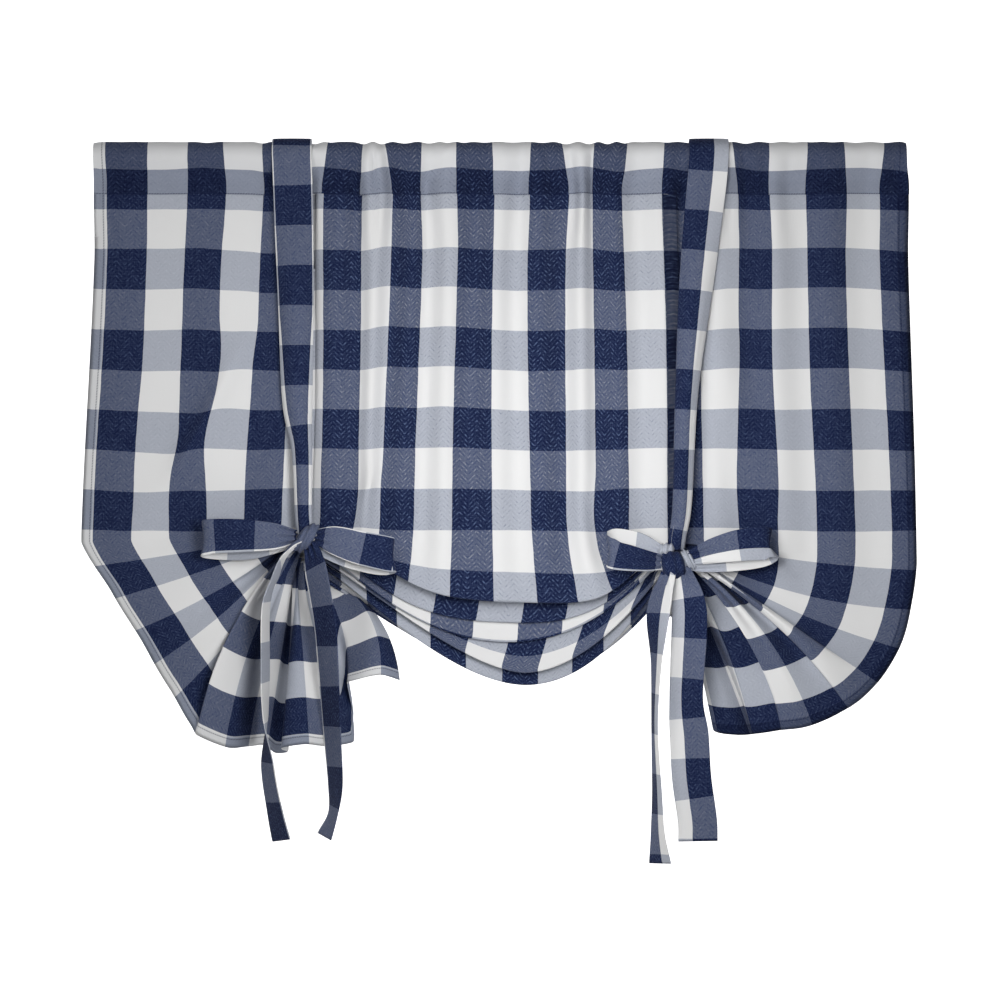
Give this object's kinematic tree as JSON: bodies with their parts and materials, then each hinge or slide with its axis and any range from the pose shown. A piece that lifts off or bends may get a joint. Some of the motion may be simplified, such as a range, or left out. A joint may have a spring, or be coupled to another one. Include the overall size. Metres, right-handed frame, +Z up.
{
  "type": "tie-up balloon shade",
  "caption": "Checked cloth tie-up balloon shade with a rod-pocket heading, gathered middle, a swag and side fans drawn up by straps tied in bows.",
  "frame": {"origin": "middle of the heading's top edge, on the rod's vertical plane", "axes": "+X to the viewer's right along the heading, +Y to the window behind, +Z up; the bows face -Y"},
  "size_m": [1.0576, 0.1731, 0.9191],
  "materials": {
    "checked_cloth": "matte twill weave",
    "tie_cloth": "matte twill weave"
  },
  "bodies": {
    "root": {"rod_pocket": "checked_cloth", "panel": "checked_cloth", "tie_left": "tie_cloth", "tie_right": "tie_cloth"}
  },
  "joints": []
}
